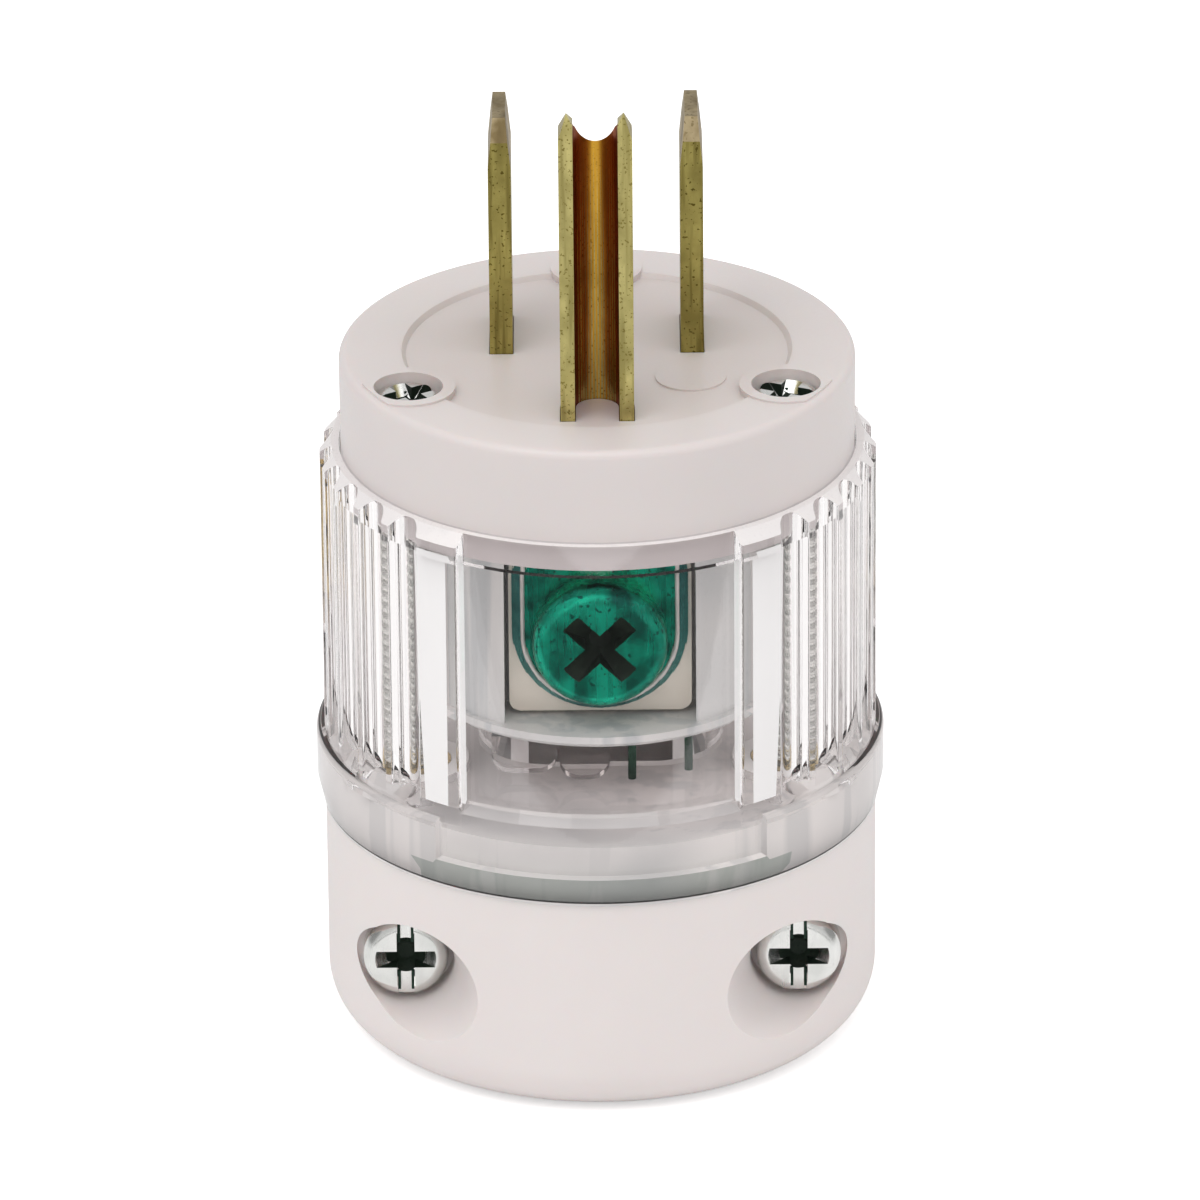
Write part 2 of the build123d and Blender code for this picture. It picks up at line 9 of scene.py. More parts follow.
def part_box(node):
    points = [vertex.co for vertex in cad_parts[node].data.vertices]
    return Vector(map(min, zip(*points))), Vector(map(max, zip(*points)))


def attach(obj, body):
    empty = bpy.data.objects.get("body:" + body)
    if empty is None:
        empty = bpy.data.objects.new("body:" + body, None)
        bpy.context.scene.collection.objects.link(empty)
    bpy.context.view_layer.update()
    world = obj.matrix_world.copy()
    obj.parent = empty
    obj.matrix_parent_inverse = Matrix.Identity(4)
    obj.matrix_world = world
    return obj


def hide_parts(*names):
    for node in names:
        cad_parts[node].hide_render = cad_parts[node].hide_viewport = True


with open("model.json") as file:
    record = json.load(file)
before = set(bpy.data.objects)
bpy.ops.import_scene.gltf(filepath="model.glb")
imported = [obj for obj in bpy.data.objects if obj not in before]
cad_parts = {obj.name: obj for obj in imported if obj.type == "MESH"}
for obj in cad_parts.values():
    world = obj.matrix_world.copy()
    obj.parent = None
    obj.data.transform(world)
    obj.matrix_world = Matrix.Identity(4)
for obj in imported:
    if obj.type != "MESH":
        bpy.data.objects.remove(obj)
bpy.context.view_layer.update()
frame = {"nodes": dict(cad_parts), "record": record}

nodes = frame["nodes"]
slotOf = {row["node"]: row["material_slot"] for row in frame["record"]["subparts"]}
mm = 0.001

print("stage: camera and studio")

# The camera stands in front of the ground pin, looks down on the face and leans a little to one side
cameraSetup = {
    "elevation": 24.85,     # degrees above the floor
    "distance": 758.0,      # mm from the target
    "targetX": 0.06,        # mm to the right of the plug's axis
    "target": 29.68,        # mm up the plug's axis
    "roll": -0.51,          # degrees
    "lens": 338.4,          # mm, as is the sensor's width
    "sensor": 36.0,
    "clipEnd": 10.0,        # m
}

studio = {
    "floorSize": 4000.0,    # mm
    "floorColor": (0.93, 0.93, 0.93, 1),
    "floorRoughness": 0.9,
    "floorShine": 0.1,
    "floorGlow": 0.45,      # for the camera
    "clearGlow": 0.1,       # and behind the plug, through the clear housing
    "floorCard": (-104.0, -60.0),   # mm, from the camera's side: a dark card that only reflections see
    "cardColor": (0.06, 0.06, 0.06, 1),
    "frontLight": 0.54,     # the soft light from the camera's side
    "roomLight": 0.82,      # and from the sides, the back and above
    "frontEdge": (0.25, 0.85),      # how far forwards a direction points where one fades to the other
    "cardLight": (0.66, 0.3),       # what metal sees: the room and two dark side cards
    "clearLight": (0.8, 0.4),       # the same as seen through the clear housing
    "cardEdge": (0.62, 0.86),       # how far sideways it points where the cards begin
    "lampDistance": 420.0,  # mm
    "lamps": [
        # name, azimuth and elevation in degrees, width in mm, power in W
        ("keyLamp", -48, 50, 300, 0.24),
        ("fillLamp", 58, 44, 260, 0.13),
        ("windowLamp", 0, 14, 240, 0.06),
        ("topLamp", -8, 63, 320, 0.42),
    ],
}


# Sets an input to a plain value, or links it to another node's output
def feed(tree, socket, value):
    if isinstance(value, bpy.types.NodeSocket):
        tree.links.new(value, socket)
    elif value is not None:
        socket.default_value = value


def addMath(tree, operation, first, second=None):
    step = tree.nodes.new("ShaderNodeMath")
    step.operation = operation
    feed(tree, step.inputs[0], first)
    feed(tree, step.inputs[1], second)
    return step.outputs[0]


def addRange(tree, value, fromLow, fromHigh, toLow, toHigh, smooth=False):
    remap = tree.nodes.new("ShaderNodeMapRange")
    if smooth:
        remap.interpolation_type = "SMOOTHSTEP"
    limits = {"From Min": fromLow, "From Max": fromHigh, "To Min": toLow, "To Max": toHigh}
    for label, limit in limits.items():
        feed(tree, remap.inputs[label], limit)
    feed(tree, remap.inputs["Value"], value)
    return remap.outputs["Result"]


# The inputs of a colour mix are its factor and its two colours
def addMix(tree, factor, first, second, blend="MIX"):
    mix = tree.nodes.new("ShaderNodeMix")
    mix.data_type = "RGBA"
    mix.blend_type = blend
    for index, value in ((0, factor), (6, first), (7, second)):
        feed(tree, mix.inputs[index], value)
    return mix.outputs[2]


def makeCamera(setup):
    data = bpy.data.cameras.new("camera")
    data.sensor_width = setup["sensor"]
    data.lens = setup["lens"]
    data.clip_end = setup["clipEnd"]
    camera = bpy.data.objects.new("camera", data)
    bpy.context.scene.collection.objects.link(camera)
    tilt = math.radians(setup["elevation"])
    reach = setup["distance"] * mm
    camera.location = (
        setup["targetX"] * mm, -reach * math.cos(tilt), setup["target"] * mm + reach * math.sin(tilt)
    )
    lean = Matrix.Rotation(math.radians(setup["roll"]), 3, "Z")
    camera.rotation_euler = (Matrix.Rotation(math.pi / 2 - tilt, 3, "X") @ lean).to_euler()
    bpy.context.scene.camera = camera


def makeLamp(name, azimuth, elevation, width, power):
    data = bpy.data.lights.new(name, "AREA")
    data.shape = "DISK"
    data.size = width * mm
    data.energy = power
    lamp = bpy.data.objects.new(name, data)
    bpy.context.scene.collection.objects.link(lamp)
    turn, tilt = math.radians(azimuth), math.radians(elevation)
    reach = studio["lampDistance"] * mm
    middle = Vector((0, 0, cameraSetup["target"] * mm))
    outwards = Vector((math.sin(turn) * math.cos(tilt), -math.cos(turn) * math.cos(tilt), math.sin(tilt)))
    lamp.location = middle + outwards * reach
    lamp.rotation_euler = outwards.to_track_quat("Z", "Y").to_euler()


# The camera sees plain white. The object is lit by a soft room that is darker in front,
# and metal and the clear housing also see two darker cards at the sides.
def makeWorld():
    world = bpy.data.worlds.new("studioWorld")
    bpy.context.scene.world = world
    world.use_nodes = True
    tree = world.node_tree
    background = tree.nodes["Background"]
    background.inputs["Color"].default_value = (1, 1, 1, 1)
    direction = tree.nodes.new("ShaderNodeSeparateXYZ")
    tree.links.new(tree.nodes.new("ShaderNodeTexCoord").outputs["Generated"], direction.inputs[0])
    frontwards = addMath(tree, "MULTIPLY", direction.outputs["Y"], -1.0)
    sideways = addMath(tree, "ABSOLUTE", direction.outputs["X"])
    room, front = studio["roomLight"], studio["frontLight"]
    soft = addRange(tree, frontwards, *studio["frontEdge"], room, front, smooth=True)
    cards = addRange(tree, sideways, *studio["cardEdge"], *studio["cardLight"], smooth=True)
    clearCards = addRange(tree, sideways, *studio["cardEdge"], *studio["clearLight"], smooth=True)
    path = tree.nodes.new("ShaderNodeLightPath")
    shiny = addRange(tree, path.outputs["Is Glossy Ray"], 0.0, 1.0, soft, cards)
    through = addRange(tree, path.outputs["Is Transmission Ray"], 0.0, 1.0, shiny, clearCards)
    seen = addRange(tree, path.outputs["Is Camera Ray"], 0.0, 1.0, through, 1.0)
    tree.links.new(seen, background.inputs["Strength"])


# White paper that glows a little for the camera, and behind the plug for rays through the clear housing.
# Shiny and clear things see a dark card that lies on it in front.
def makeFloorPaper():
    material = bpy.data.materials.new("floorPaper")
    material.use_nodes = True
    tree = material.node_tree
    shader = tree.nodes["Principled BSDF"]
    shader.inputs["Roughness"].default_value = studio["floorRoughness"]
    shader.inputs["Specular IOR Level"].default_value = studio["floorShine"]
    shader.inputs["Emission Color"].default_value = (1, 1, 1, 1)
    path = tree.nodes.new("ShaderNodeLightPath")
    spot = tree.nodes.new("ShaderNodeSeparateXYZ")
    tree.links.new(tree.nodes.new("ShaderNodeTexCoord").outputs["Object"], spot.inputs[0])
    near, far = (edge * mm for edge in studio["floorCard"])
    pastNear = addMath(tree, "GREATER_THAN", spot.outputs["Y"], near)
    beforeFar = addMath(tree, "LESS_THAN", spot.outputs["Y"], far)
    onCard = addMath(tree, "MULTIPLY", pastNear, beforeFar)
    indirect = addMath(tree, "MAXIMUM", path.outputs["Is Glossy Ray"], path.outputs["Is Transmission Ray"])
    cardShare = addMath(tree, "MULTIPLY", onCard, indirect)
    paper = addMix(tree, cardShare, studio["floorColor"], studio["cardColor"])
    tree.links.new(paper, shader.inputs["Base Color"])
    behind = addMath(tree, "GREATER_THAN", spot.outputs["Y"], 0.0)
    through = addMath(tree, "MULTIPLY", behind, path.outputs["Is Transmission Ray"])
    cameraGlow = addMath(tree, "MULTIPLY", path.outputs["Is Camera Ray"], studio["floorGlow"])
    clearGlow = addMath(tree, "MULTIPLY", through, studio["clearGlow"])
    glow = addMath(tree, "MAXIMUM", cameraGlow, clearGlow)
    tree.links.new(glow, shader.inputs["Emission Strength"])
    return material


def makeFloor():
    half = studio["floorSize"] * mm / 2
    corners = [(-half, -half, 0), (half, -half, 0), (half, half, 0), (-half, half, 0)]
    mesh = bpy.data.meshes.new("studioFloor")
    mesh.from_pydata(corners, [], [(0, 1, 2, 3)])
    floor = bpy.data.objects.new("studioFloor", mesh)
    bpy.context.scene.collection.objects.link(floor)
    mesh.materials.append(makeFloorPaper())


makeCamera(cameraSetup)
for lampRow in studio["lamps"]:
    makeLamp(*lampRow)
makeWorld()
makeFloor()
bpy.context.scene.view_settings.view_transform = "Standard"

print("stage: shader groups")


# A shader group with named inputs (kind, name, value) and outputs (kind, name)
def newShaderGroup(name, inputs, outputs):
    tree = bpy.data.node_groups.new(name, "ShaderNodeTree")
    for kind, label, value in inputs:
        socket = tree.interface.new_socket(label, in_out="INPUT", socket_type=kind)
        socket.default_value = value
    for kind, label in outputs:
        tree.interface.new_socket(label, in_out="OUTPUT", socket_type=kind)
    return tree, tree.nodes.new("NodeGroupInput"), tree.nodes.new("NodeGroupOutput")


def addNoise(tree, vector, scale, detail, stretch=None):
    noise = tree.nodes.new("ShaderNodeTexNoise")
    feed(tree, noise.inputs["Scale"], scale)
    feed(tree, noise.inputs["Detail"], detail)
    if stretch:
        mapping = tree.nodes.new("ShaderNodeMapping")
        mapping.inputs["Scale"].default_value = stretch
        tree.links.new(vector, mapping.inputs["Vector"])
        vector = mapping.outputs["Vector"]
    tree.links.new(vector, noise.inputs["Vector"])
    return noise.outputs["Fac"]


# What both looks give: a colour, a gloss that follows a fine pattern, and that pattern as relief
lookOutputs = [("NodeSocketColor", "Color"), ("NodeSocketFloat", "Roughness"), ("NodeSocketFloat", "Height")]
glossRange = (0.3, 0.7)


def finishLook(tree, given, result, color, pattern):
    low, high = given.outputs["Low Roughness"], given.outputs["High Roughness"]
    roughness = addRange(tree, pattern, *glossRange, low, high)
    tree.links.new(color, result.inputs["Color"])
    tree.links.new(roughness, result.inputs["Roughness"])
    tree.links.new(pattern, result.inputs["Height"])


# Scale per metre, detail and stretch of each noise, and the part of it that shows
plasticNoise = {
    "cloud": (90.0, 2.0),
    "cloudRange": (0.35, 0.7),
    "cloudMost": 0.6,
    "grain": (5200.0, 3.0),
    "streak": (620.0, 2.0, (1.0, 1.0, 0.04)),
    "streakRange": (0.46, 0.6),
}
metalNoise = {
    "cloud": (420.0, 6.0),
    "cloudRange": (0.38, 0.66),
    "streak": (2400.0, 3.0, (1.0, 1.0, 0.05)),
    "streakRange": (0.42, 0.66),
    "speckDetail": 1.0,
    "speckRange": (0.6, 0.68),
    "scratch": (1500.0, 2.0, (1.0, 1.0, 0.06)),
}


# Moulded plastic: faint cloudy colour, upright streaks, a fine satin grain and a slight change of gloss
def makeMouldedGroup():
    tree, given, result = newShaderGroup(
        "mouldedPlastic",
        [
            ("NodeSocketColor", "Color", (0.8, 0.8, 0.8, 1)),
            ("NodeSocketColor", "Cloud Color", (0.7, 0.7, 0.7, 1)),
            ("NodeSocketFloat", "Streaks", 0.0),
            ("NodeSocketFloat", "Low Roughness", 0.3),
            ("NodeSocketFloat", "High Roughness", 0.4),
        ],
        lookOutputs,
    )
    position = tree.nodes.new("ShaderNodeTexCoord").outputs["Object"]
    cloudNoise = addNoise(tree, position, *plasticNoise["cloud"])
    grain = addNoise(tree, position, *plasticNoise["grain"])
    streakNoise = addNoise(tree, position, *plasticNoise["streak"])
    streaks = addRange(tree, streakNoise, *plasticNoise["streakRange"], 0.0, given.outputs["Streaks"])
    clouds = addRange(tree, cloudNoise, *plasticNoise["cloudRange"], 0.0, plasticNoise["cloudMost"])
    share = addMath(tree, "MAXIMUM", clouds, streaks)
    color = addMix(tree, share, given.outputs["Color"], given.outputs["Cloud Color"])
    finishLook(tree, given, result, color, grain)
    return tree


# Handled metal: cloudy tarnish, small dark specks, drawn streaks up the part and fine scratches
def makeMetalGroup():
    tree, given, result = newShaderGroup(
        "handledMetal",
        [
            ("NodeSocketColor", "Clean Color", (0.8, 0.7, 0.4, 1)),
            ("NodeSocketColor", "Tarnish Color", (0.4, 0.3, 0.15, 1)),
            ("NodeSocketFloat", "Tarnish", 0.5),
            ("NodeSocketFloat", "Streaks", 0.3),
            ("NodeSocketFloat", "Specks", 0.5),
            ("NodeSocketFloat", "Speck Scale", 6000.0),
            ("NodeSocketFloat", "Low Roughness", 0.2),
            ("NodeSocketFloat", "High Roughness", 0.4),
        ],
        lookOutputs,
    )
    position = tree.nodes.new("ShaderNodeTexCoord").outputs["Object"]
    cloudNoise = addNoise(tree, position, *metalNoise["cloud"])
    streakNoise = addNoise(tree, position, *metalNoise["streak"])
    speckNoise = addNoise(tree, position, given.outputs["Speck Scale"], metalNoise["speckDetail"])
    scratch = addNoise(tree, position, *metalNoise["scratch"])
    cloud = addRange(tree, cloudNoise, *metalNoise["cloudRange"], 0.0, given.outputs["Tarnish"])
    streak = addRange(tree, streakNoise, *metalNoise["streakRange"], 0.0, given.outputs["Streaks"])
    speck = addRange(tree, speckNoise, *metalNoise["speckRange"], 0.0, given.outputs["Specks"])
    tarnish = addMath(tree, "MAXIMUM", addMath(tree, "MAXIMUM", cloud, streak), speck)
    color = addMix(tree, tarnish, given.outputs["Clean Color"], given.outputs["Tarnish Color"])
    finishLook(tree, given, result, color, scratch)
    return tree


# How far a point is from the object's own axis or middle plane, as 0 to 1 between two distances
def makeZoneGroup():
    tree, given, result = newShaderGroup(
        "distanceZone",
        [
            ("NodeSocketVector", "Directions", (1, 1, 0)),
            ("NodeSocketFloat", "Near", 0.0),
            ("NodeSocketFloat", "Far", 0.01),
        ],
        [("NodeSocketFloat", "Zone")],
    )
    position = tree.nodes.new("ShaderNodeTexCoord").outputs["Object"]
    picked = tree.nodes.new("ShaderNodeVectorMath")
    picked.operation = "MULTIPLY"
    tree.links.new(position, picked.inputs[0])
    tree.links.new(given.outputs["Directions"], picked.inputs[1])
    distance = tree.nodes.new("ShaderNodeVectorMath")
    distance.operation = "LENGTH"
    tree.links.new(picked.outputs["Vector"], distance.inputs[0])
    near, far = given.outputs["Near"], given.outputs["Far"]
    zone = addRange(tree, distance.outputs["Value"], near, far, 0.0, 1.0, smooth=True)
    tree.links.new(zone, result.inputs["Zone"])
    return tree


distanceZone = makeZoneGroup()
mouldedPlastic = makeMouldedGroup()
handledMetal = makeMetalGroup()

print("stage: materials")


# The group's values, then those of the shader's own sockets. The bump's distance is in mm.
def newMaterial(name, group, values, fixedValues, bump, bumpDistance):
    material = bpy.data.materials.new(name)
    material.use_nodes = True
    tree = material.node_tree
    shader = tree.nodes["Principled BSDF"]
    effect = tree.nodes.new("ShaderNodeGroup")
    effect.name = "effect"
    effect.node_tree = group
    for label, value in values.items():
        effect.inputs[label].default_value = value
    for label, value in fixedValues.items():
        shader.inputs[label].default_value = value
    tree.links.new(effect.outputs["Color"], shader.inputs["Base Color"])
    tree.links.new(effect.outputs["Roughness"], shader.inputs["Roughness"])
    relief = tree.nodes.new("ShaderNodeBump")
    relief.inputs["Strength"].default_value = bump
    relief.inputs["Distance"].default_value = bumpDistance * mm
    tree.links.new(effect.outputs["Height"], relief.inputs["Height"])
    tree.links.new(relief.outputs["Normal"], shader.inputs["Normal"])
    return material


# A tint over the colour that grows as the distance in the given directions goes from near to far, in mm
def tintByDistance(material, directions, near, far, tint):
    tree = material.node_tree
    zone = tree.nodes.new("ShaderNodeGroup")
    zone.node_tree = distanceZone
    zone.inputs["Directions"].default_value = directions
    zone.inputs["Near"].default_value = near * mm
    zone.inputs["Far"].default_value = far * mm
    shader = tree.nodes["Principled BSDF"]
    before = shader.inputs["Base Color"].links[0].from_socket
    tinted = addMix(tree, zone.outputs["Zone"], before, tint, blend="MULTIPLY")
    tree.links.new(tinted, shader.inputs["Base Color"])


# Clear plastic lets light pass straight and almost whole, to and from what it covers
def letLightThrough(material, shade):
    tree = material.node_tree
    path = tree.nodes.new("ShaderNodeLightPath")
    passing = tree.nodes.new("ShaderNodeBsdfTransparent")
    passing.inputs["Color"].default_value = shade
    surface = tree.nodes["Principled BSDF"].outputs["BSDF"]
    for label in ("Is Diffuse Ray", "Is Shadow Ray"):
        mix = tree.nodes.new("ShaderNodeMixShader")
        tree.links.new(path.outputs[label], mix.inputs["Fac"])
        tree.links.new(surface, mix.inputs[1])
        tree.links.new(passing.outputs["BSDF"], mix.inputs[2])
        surface = mix.outputs["Shader"]
    tree.links.new(surface, tree.nodes["Material Output"].inputs["Surface"])


# White mouldings: the cap, the face and its skirt, the block, and the block's part behind the window; the
# skirt and the block's part behind the window are darker copies as painted shade
whiteNylon = newMaterial(
    "whiteNylon", mouldedPlastic,
    {
        "Color": (0.79, 0.73, 0.715, 1), "Cloud Color": (0.76, 0.7, 0.685, 1),
        "Low Roughness": 0.34, "High Roughness": 0.46,
    },
    {"IOR": 1.5, "Subsurface Weight": 0.12, "Subsurface Scale": 0.0015},
    bump=0.08, bumpDistance=0.05,
)
faceNylon = newMaterial(
    "faceNylon", mouldedPlastic,
    {
        "Color": (0.69, 0.635, 0.62, 1), "Cloud Color": (0.66, 0.605, 0.595, 1),
        "Low Roughness": 0.3, "High Roughness": 0.42,
    },
    {"IOR": 1.5, "Subsurface Weight": 0.12, "Subsurface Scale": 0.0015},
    bump=0.08, bumpDistance=0.05,
)
# Painted shade: the face is darker inside its raised band
tintByDistance(faceNylon, (1, 1, 0), 13.4, 12.6, (0.94, 0.92, 0.91, 1))
# Painted shade: the skirt under the clear housing's rim is a darker copy of the face's nylon
skirtShadeNylon = newMaterial(
    "skirtShadeNylon", mouldedPlastic,
    {
        "Color": (0.58, 0.53, 0.525, 1), "Cloud Color": (0.54, 0.495, 0.49, 1),
        "Low Roughness": 0.3, "High Roughness": 0.42,
    },
    {"IOR": 1.5},
    bump=0.08, bumpDistance=0.05,
)
blockNylon = newMaterial(
    "blockNylon", mouldedPlastic,
    {
        "Color": (0.92, 0.88, 0.87, 1), "Cloud Color": (0.88, 0.84, 0.83, 1),
        "Low Roughness": 0.3, "High Roughness": 0.42,
    },
    {"IOR": 1.5},
    bump=0.08, bumpDistance=0.05,
)
blockShade = newMaterial(
    "blockShade", mouldedPlastic,
    {
        "Color": (0.84, 0.82, 0.8, 1), "Cloud Color": (0.58, 0.6, 0.61, 1), "Streaks": 0.8,
        "Low Roughness": 0.25, "High Roughness": 0.4,
    },
    {"IOR": 1.5},
    bump=0.08, bumpDistance=0.05,
)
# The clear housing looks white where its foot lies against the white cap, and two strips behind its posts are
# painted white as a painted highlight
seatWhite = newMaterial(
    "seatWhite", mouldedPlastic,
    {
        "Color": (0.8, 0.755, 0.735, 1), "Cloud Color": (0.42, 0.42, 0.425, 1), "Streaks": 0.45,
        "Low Roughness": 0.3, "High Roughness": 0.45,
    },
    {"IOR": 1.5},
    bump=0.08, bumpDistance=0.05,
)
railHighlight = newMaterial(
    "railHighlight", mouldedPlastic,
    {
        "Color": (0.93, 0.925, 0.92, 1), "Cloud Color": (0.89, 0.88, 0.875, 1),
        "Low Roughness": 0.3, "High Roughness": 0.4,
    },
    {"IOR": 1.5},
    bump=0.04, bumpDistance=0.02,
)
# The top of the cap, seen under the block, is a lighter copy of the cap's nylon as painted light
deckLitNylon = newMaterial(
    "deckLitNylon", mouldedPlastic,
    {
        "Color": (0.93, 0.9, 0.885, 1), "Cloud Color": (0.88, 0.85, 0.84, 1),
        "Low Roughness": 0.34, "High Roughness": 0.46,
    },
    {"IOR": 1.5},
    bump=0.08, bumpDistance=0.05,
)
clearPolycarbonate = newMaterial(
    "clearPolycarbonate", mouldedPlastic,
    {
        "Color": (0.978, 0.953, 0.948, 1), "Cloud Color": (0.968, 0.943, 0.938, 1),
        "Low Roughness": 0.0, "High Roughness": 0.03,
    },
    {"IOR": 1.5, "Transmission Weight": 1.0},
    bump=0.02, bumpDistance=0.02,
)
letLightThrough(clearPolycarbonate, (0.98, 0.975, 0.98, 1))
# The clear housing's top edge is painted opaque pale as painted light, and the front of the lip at its foot
# is tinted dark as a painted reflection
paleLitRim = newMaterial(
    "paleLitRim", mouldedPlastic,
    {
        "Color": (0.84, 0.8, 0.79, 1), "Cloud Color": (0.74, 0.71, 0.71, 1), "Streaks": 0.4,
        "Low Roughness": 0.25, "High Roughness": 0.4,
    },
    {"IOR": 1.4},
    bump=0.05, bumpDistance=0.02,
)
# Painted reflection: the front of the lip at the clear housing's foot is tinted dark grey-green
ringLipDarkReflection = newMaterial(
    "ringLipDarkReflection", mouldedPlastic,
    {
        "Color": (0.3, 0.36, 0.33, 1), "Cloud Color": (0.55, 0.59, 0.57, 1), "Streaks": 0.8,
        "Low Roughness": 0.06, "High Roughness": 0.16,
    },
    {"IOR": 1.5, "Transmission Weight": 1.0},
    bump=0.05, bumpDistance=0.02,
)
letLightThrough(ringLipDarkReflection, (0.9, 0.92, 0.91, 1))
# Brass: the blades, the pin, the blades' bevels, the inside of the pin's channel, and the turned inserts; the
# bevels are lighter and pinker as painted light, and the channel's inside is brighter and oranger as a
# painted reflection
bladeBrass = newMaterial(
    "bladeBrass", handledMetal,
    {
        "Clean Color": (0.42, 0.355, 0.11, 1), "Tarnish Color": (0.1, 0.075, 0.013, 1),
        "Tarnish": 0.55, "Streaks": 0.7, "Specks": 0.95, "Speck Scale": 3800.0,
        "Low Roughness": 0.26, "High Roughness": 0.44,
    },
    {"Metallic": 1.0},
    bump=0.18, bumpDistance=0.03,
)
pinBrass = newMaterial(
    "pinBrass", handledMetal,
    {
        "Clean Color": (0.57, 0.5, 0.2, 1), "Tarnish Color": (0.2, 0.16, 0.04, 1),
        "Tarnish": 0.55, "Streaks": 0.6, "Specks": 0.9, "Speck Scale": 5200.0,
        "Low Roughness": 0.26, "High Roughness": 0.44,
    },
    {"Metallic": 1.0},
    bump=0.18, bumpDistance=0.03,
)
# Painted light: the blades' upward-facing bevels are lighter and pinker
tipLitBrass = newMaterial(
    "tipLitBrass", handledMetal,
    {
        "Clean Color": (0.47, 0.385, 0.235, 1), "Tarnish Color": (0.13, 0.09, 0.035, 1),
        "Tarnish": 0.85, "Streaks": 0.4, "Specks": 0.7, "Speck Scale": 3800.0,
        "Low Roughness": 0.4, "High Roughness": 0.6,
    },
    {"Metallic": 1.0},
    bump=0.15, bumpDistance=0.03,
)
# Painted reflection: the inside of the pin's channel is brighter and oranger than the pin
channelSheenBrass = newMaterial(
    "channelSheenBrass", handledMetal,
    {
        "Clean Color": (0.68, 0.37, 0.042, 1), "Tarnish Color": (0.37, 0.175, 0.016, 1),
        "Tarnish": 0.45, "Streaks": 0.55, "Specks": 0.6, "Speck Scale": 6500.0,
        "Low Roughness": 0.3, "High Roughness": 0.46,
    },
    {"Metallic": 1.0},
    bump=0.15, bumpDistance=0.03,
)
# Painted shade: darker and redder towards the channel's walls
tintByDistance(channelSheenBrass, (1, 0, 0), 0.35, 1.35, (0.52, 0.25, 0.95, 1))
turnedBrass = newMaterial(
    "turnedBrass", handledMetal,
    {
        "Clean Color": (0.75, 0.58, 0.28, 1), "Tarnish Color": (0.45, 0.32, 0.13, 1),
        "Tarnish": 0.4, "Streaks": 0.1, "Specks": 0.2, "Speck Scale": 5000.0,
        "Low Roughness": 0.2, "High Roughness": 0.34,
    },
    {"Metallic": 1.0},
    bump=0.1, bumpDistance=0.02,
)
nickelSteel = newMaterial(
    "nickelSteel", handledMetal,
    {
        "Clean Color": (0.86, 0.86, 0.84, 1), "Tarnish Color": (0.42, 0.44, 0.41, 1),
        "Tarnish": 0.35, "Streaks": 0.2, "Specks": 0.25, "Speck Scale": 5000.0,
        "Low Roughness": 0.16, "High Roughness": 0.3,
    },
    {"Metallic": 1.0},
    bump=0.1, bumpDistance=0.02,
)
# The ground terminal: a green screw, the washer's bevel in a teal of painted shade, and a cream plate
greenSteel = newMaterial(
    "greenSteel", handledMetal,
    {
        "Clean Color": (0.009, 0.52, 0.33, 1), "Tarnish Color": (0.004, 0.085, 0.068, 1),
        "Tarnish": 0.95, "Streaks": 0.1, "Specks": 0.9, "Speck Scale": 2400.0,
        "Low Roughness": 0.18, "High Roughness": 0.36,
    },
    {"Metallic": 0.9, "Coat Weight": 0.1},
    bump=0.3, bumpDistance=0.03,
)
# Painted shade: the washer's faces that turn away from the front are a teal grey copy of the green
greenWasherShade = newMaterial(
    "greenWasherShade", handledMetal,
    {
        "Clean Color": (0.14, 0.42, 0.4, 1), "Tarnish Color": (0.05, 0.17, 0.17, 1),
        "Tarnish": 0.6, "Streaks": 0.1, "Specks": 0.4, "Speck Scale": 5000.0,
        "Low Roughness": 0.2, "High Roughness": 0.34,
    },
    {"Metallic": 0.8},
    bump=0.1, bumpDistance=0.02,
)
creamPlate = newMaterial(
    "creamPlate", handledMetal,
    {
        "Clean Color": (0.97, 0.89, 0.79, 1), "Tarnish Color": (0.82, 0.74, 0.64, 1),
        "Tarnish": 0.5, "Streaks": 0.15, "Specks": 0.2, "Speck Scale": 5000.0,
        "Low Roughness": 0.32, "High Roughness": 0.48,
    },
    {"Metallic": 0.08},
    bump=0.1, bumpDistance=0.02,
)
# The raised edge inside the washer's bevel, painted pale as a painted highlight
washerPale = newMaterial(
    "washerPale", handledMetal,
    {
        "Clean Color": (0.86, 0.78, 0.76, 1), "Tarnish Color": (0.5, 0.5, 0.48, 1),
        "Tarnish": 0.6, "Streaks": 0.1, "Specks": 0.4, "Speck Scale": 4000.0,
        "Low Roughness": 0.2, "High Roughness": 0.4,
    },
    {"Metallic": 0.2},
    bump=0.1, bumpDistance=0.02,
)
# Grime and painted shade along the slots of the screws, and painted shade in their recesses
slotDirt = newMaterial(
    "slotDirt", handledMetal,
    {
        "Clean Color": (0.03, 0.075, 0.05, 1), "Tarnish Color": (0.006, 0.012, 0.008, 1),
        "Tarnish": 0.8, "Streaks": 0.5, "Specks": 0.8, "Speck Scale": 5000.0,
        "Low Roughness": 0.4, "High Roughness": 0.6,
    },
    {"Specular IOR Level": 0.2},
    bump=0.4, bumpDistance=0.05,
)
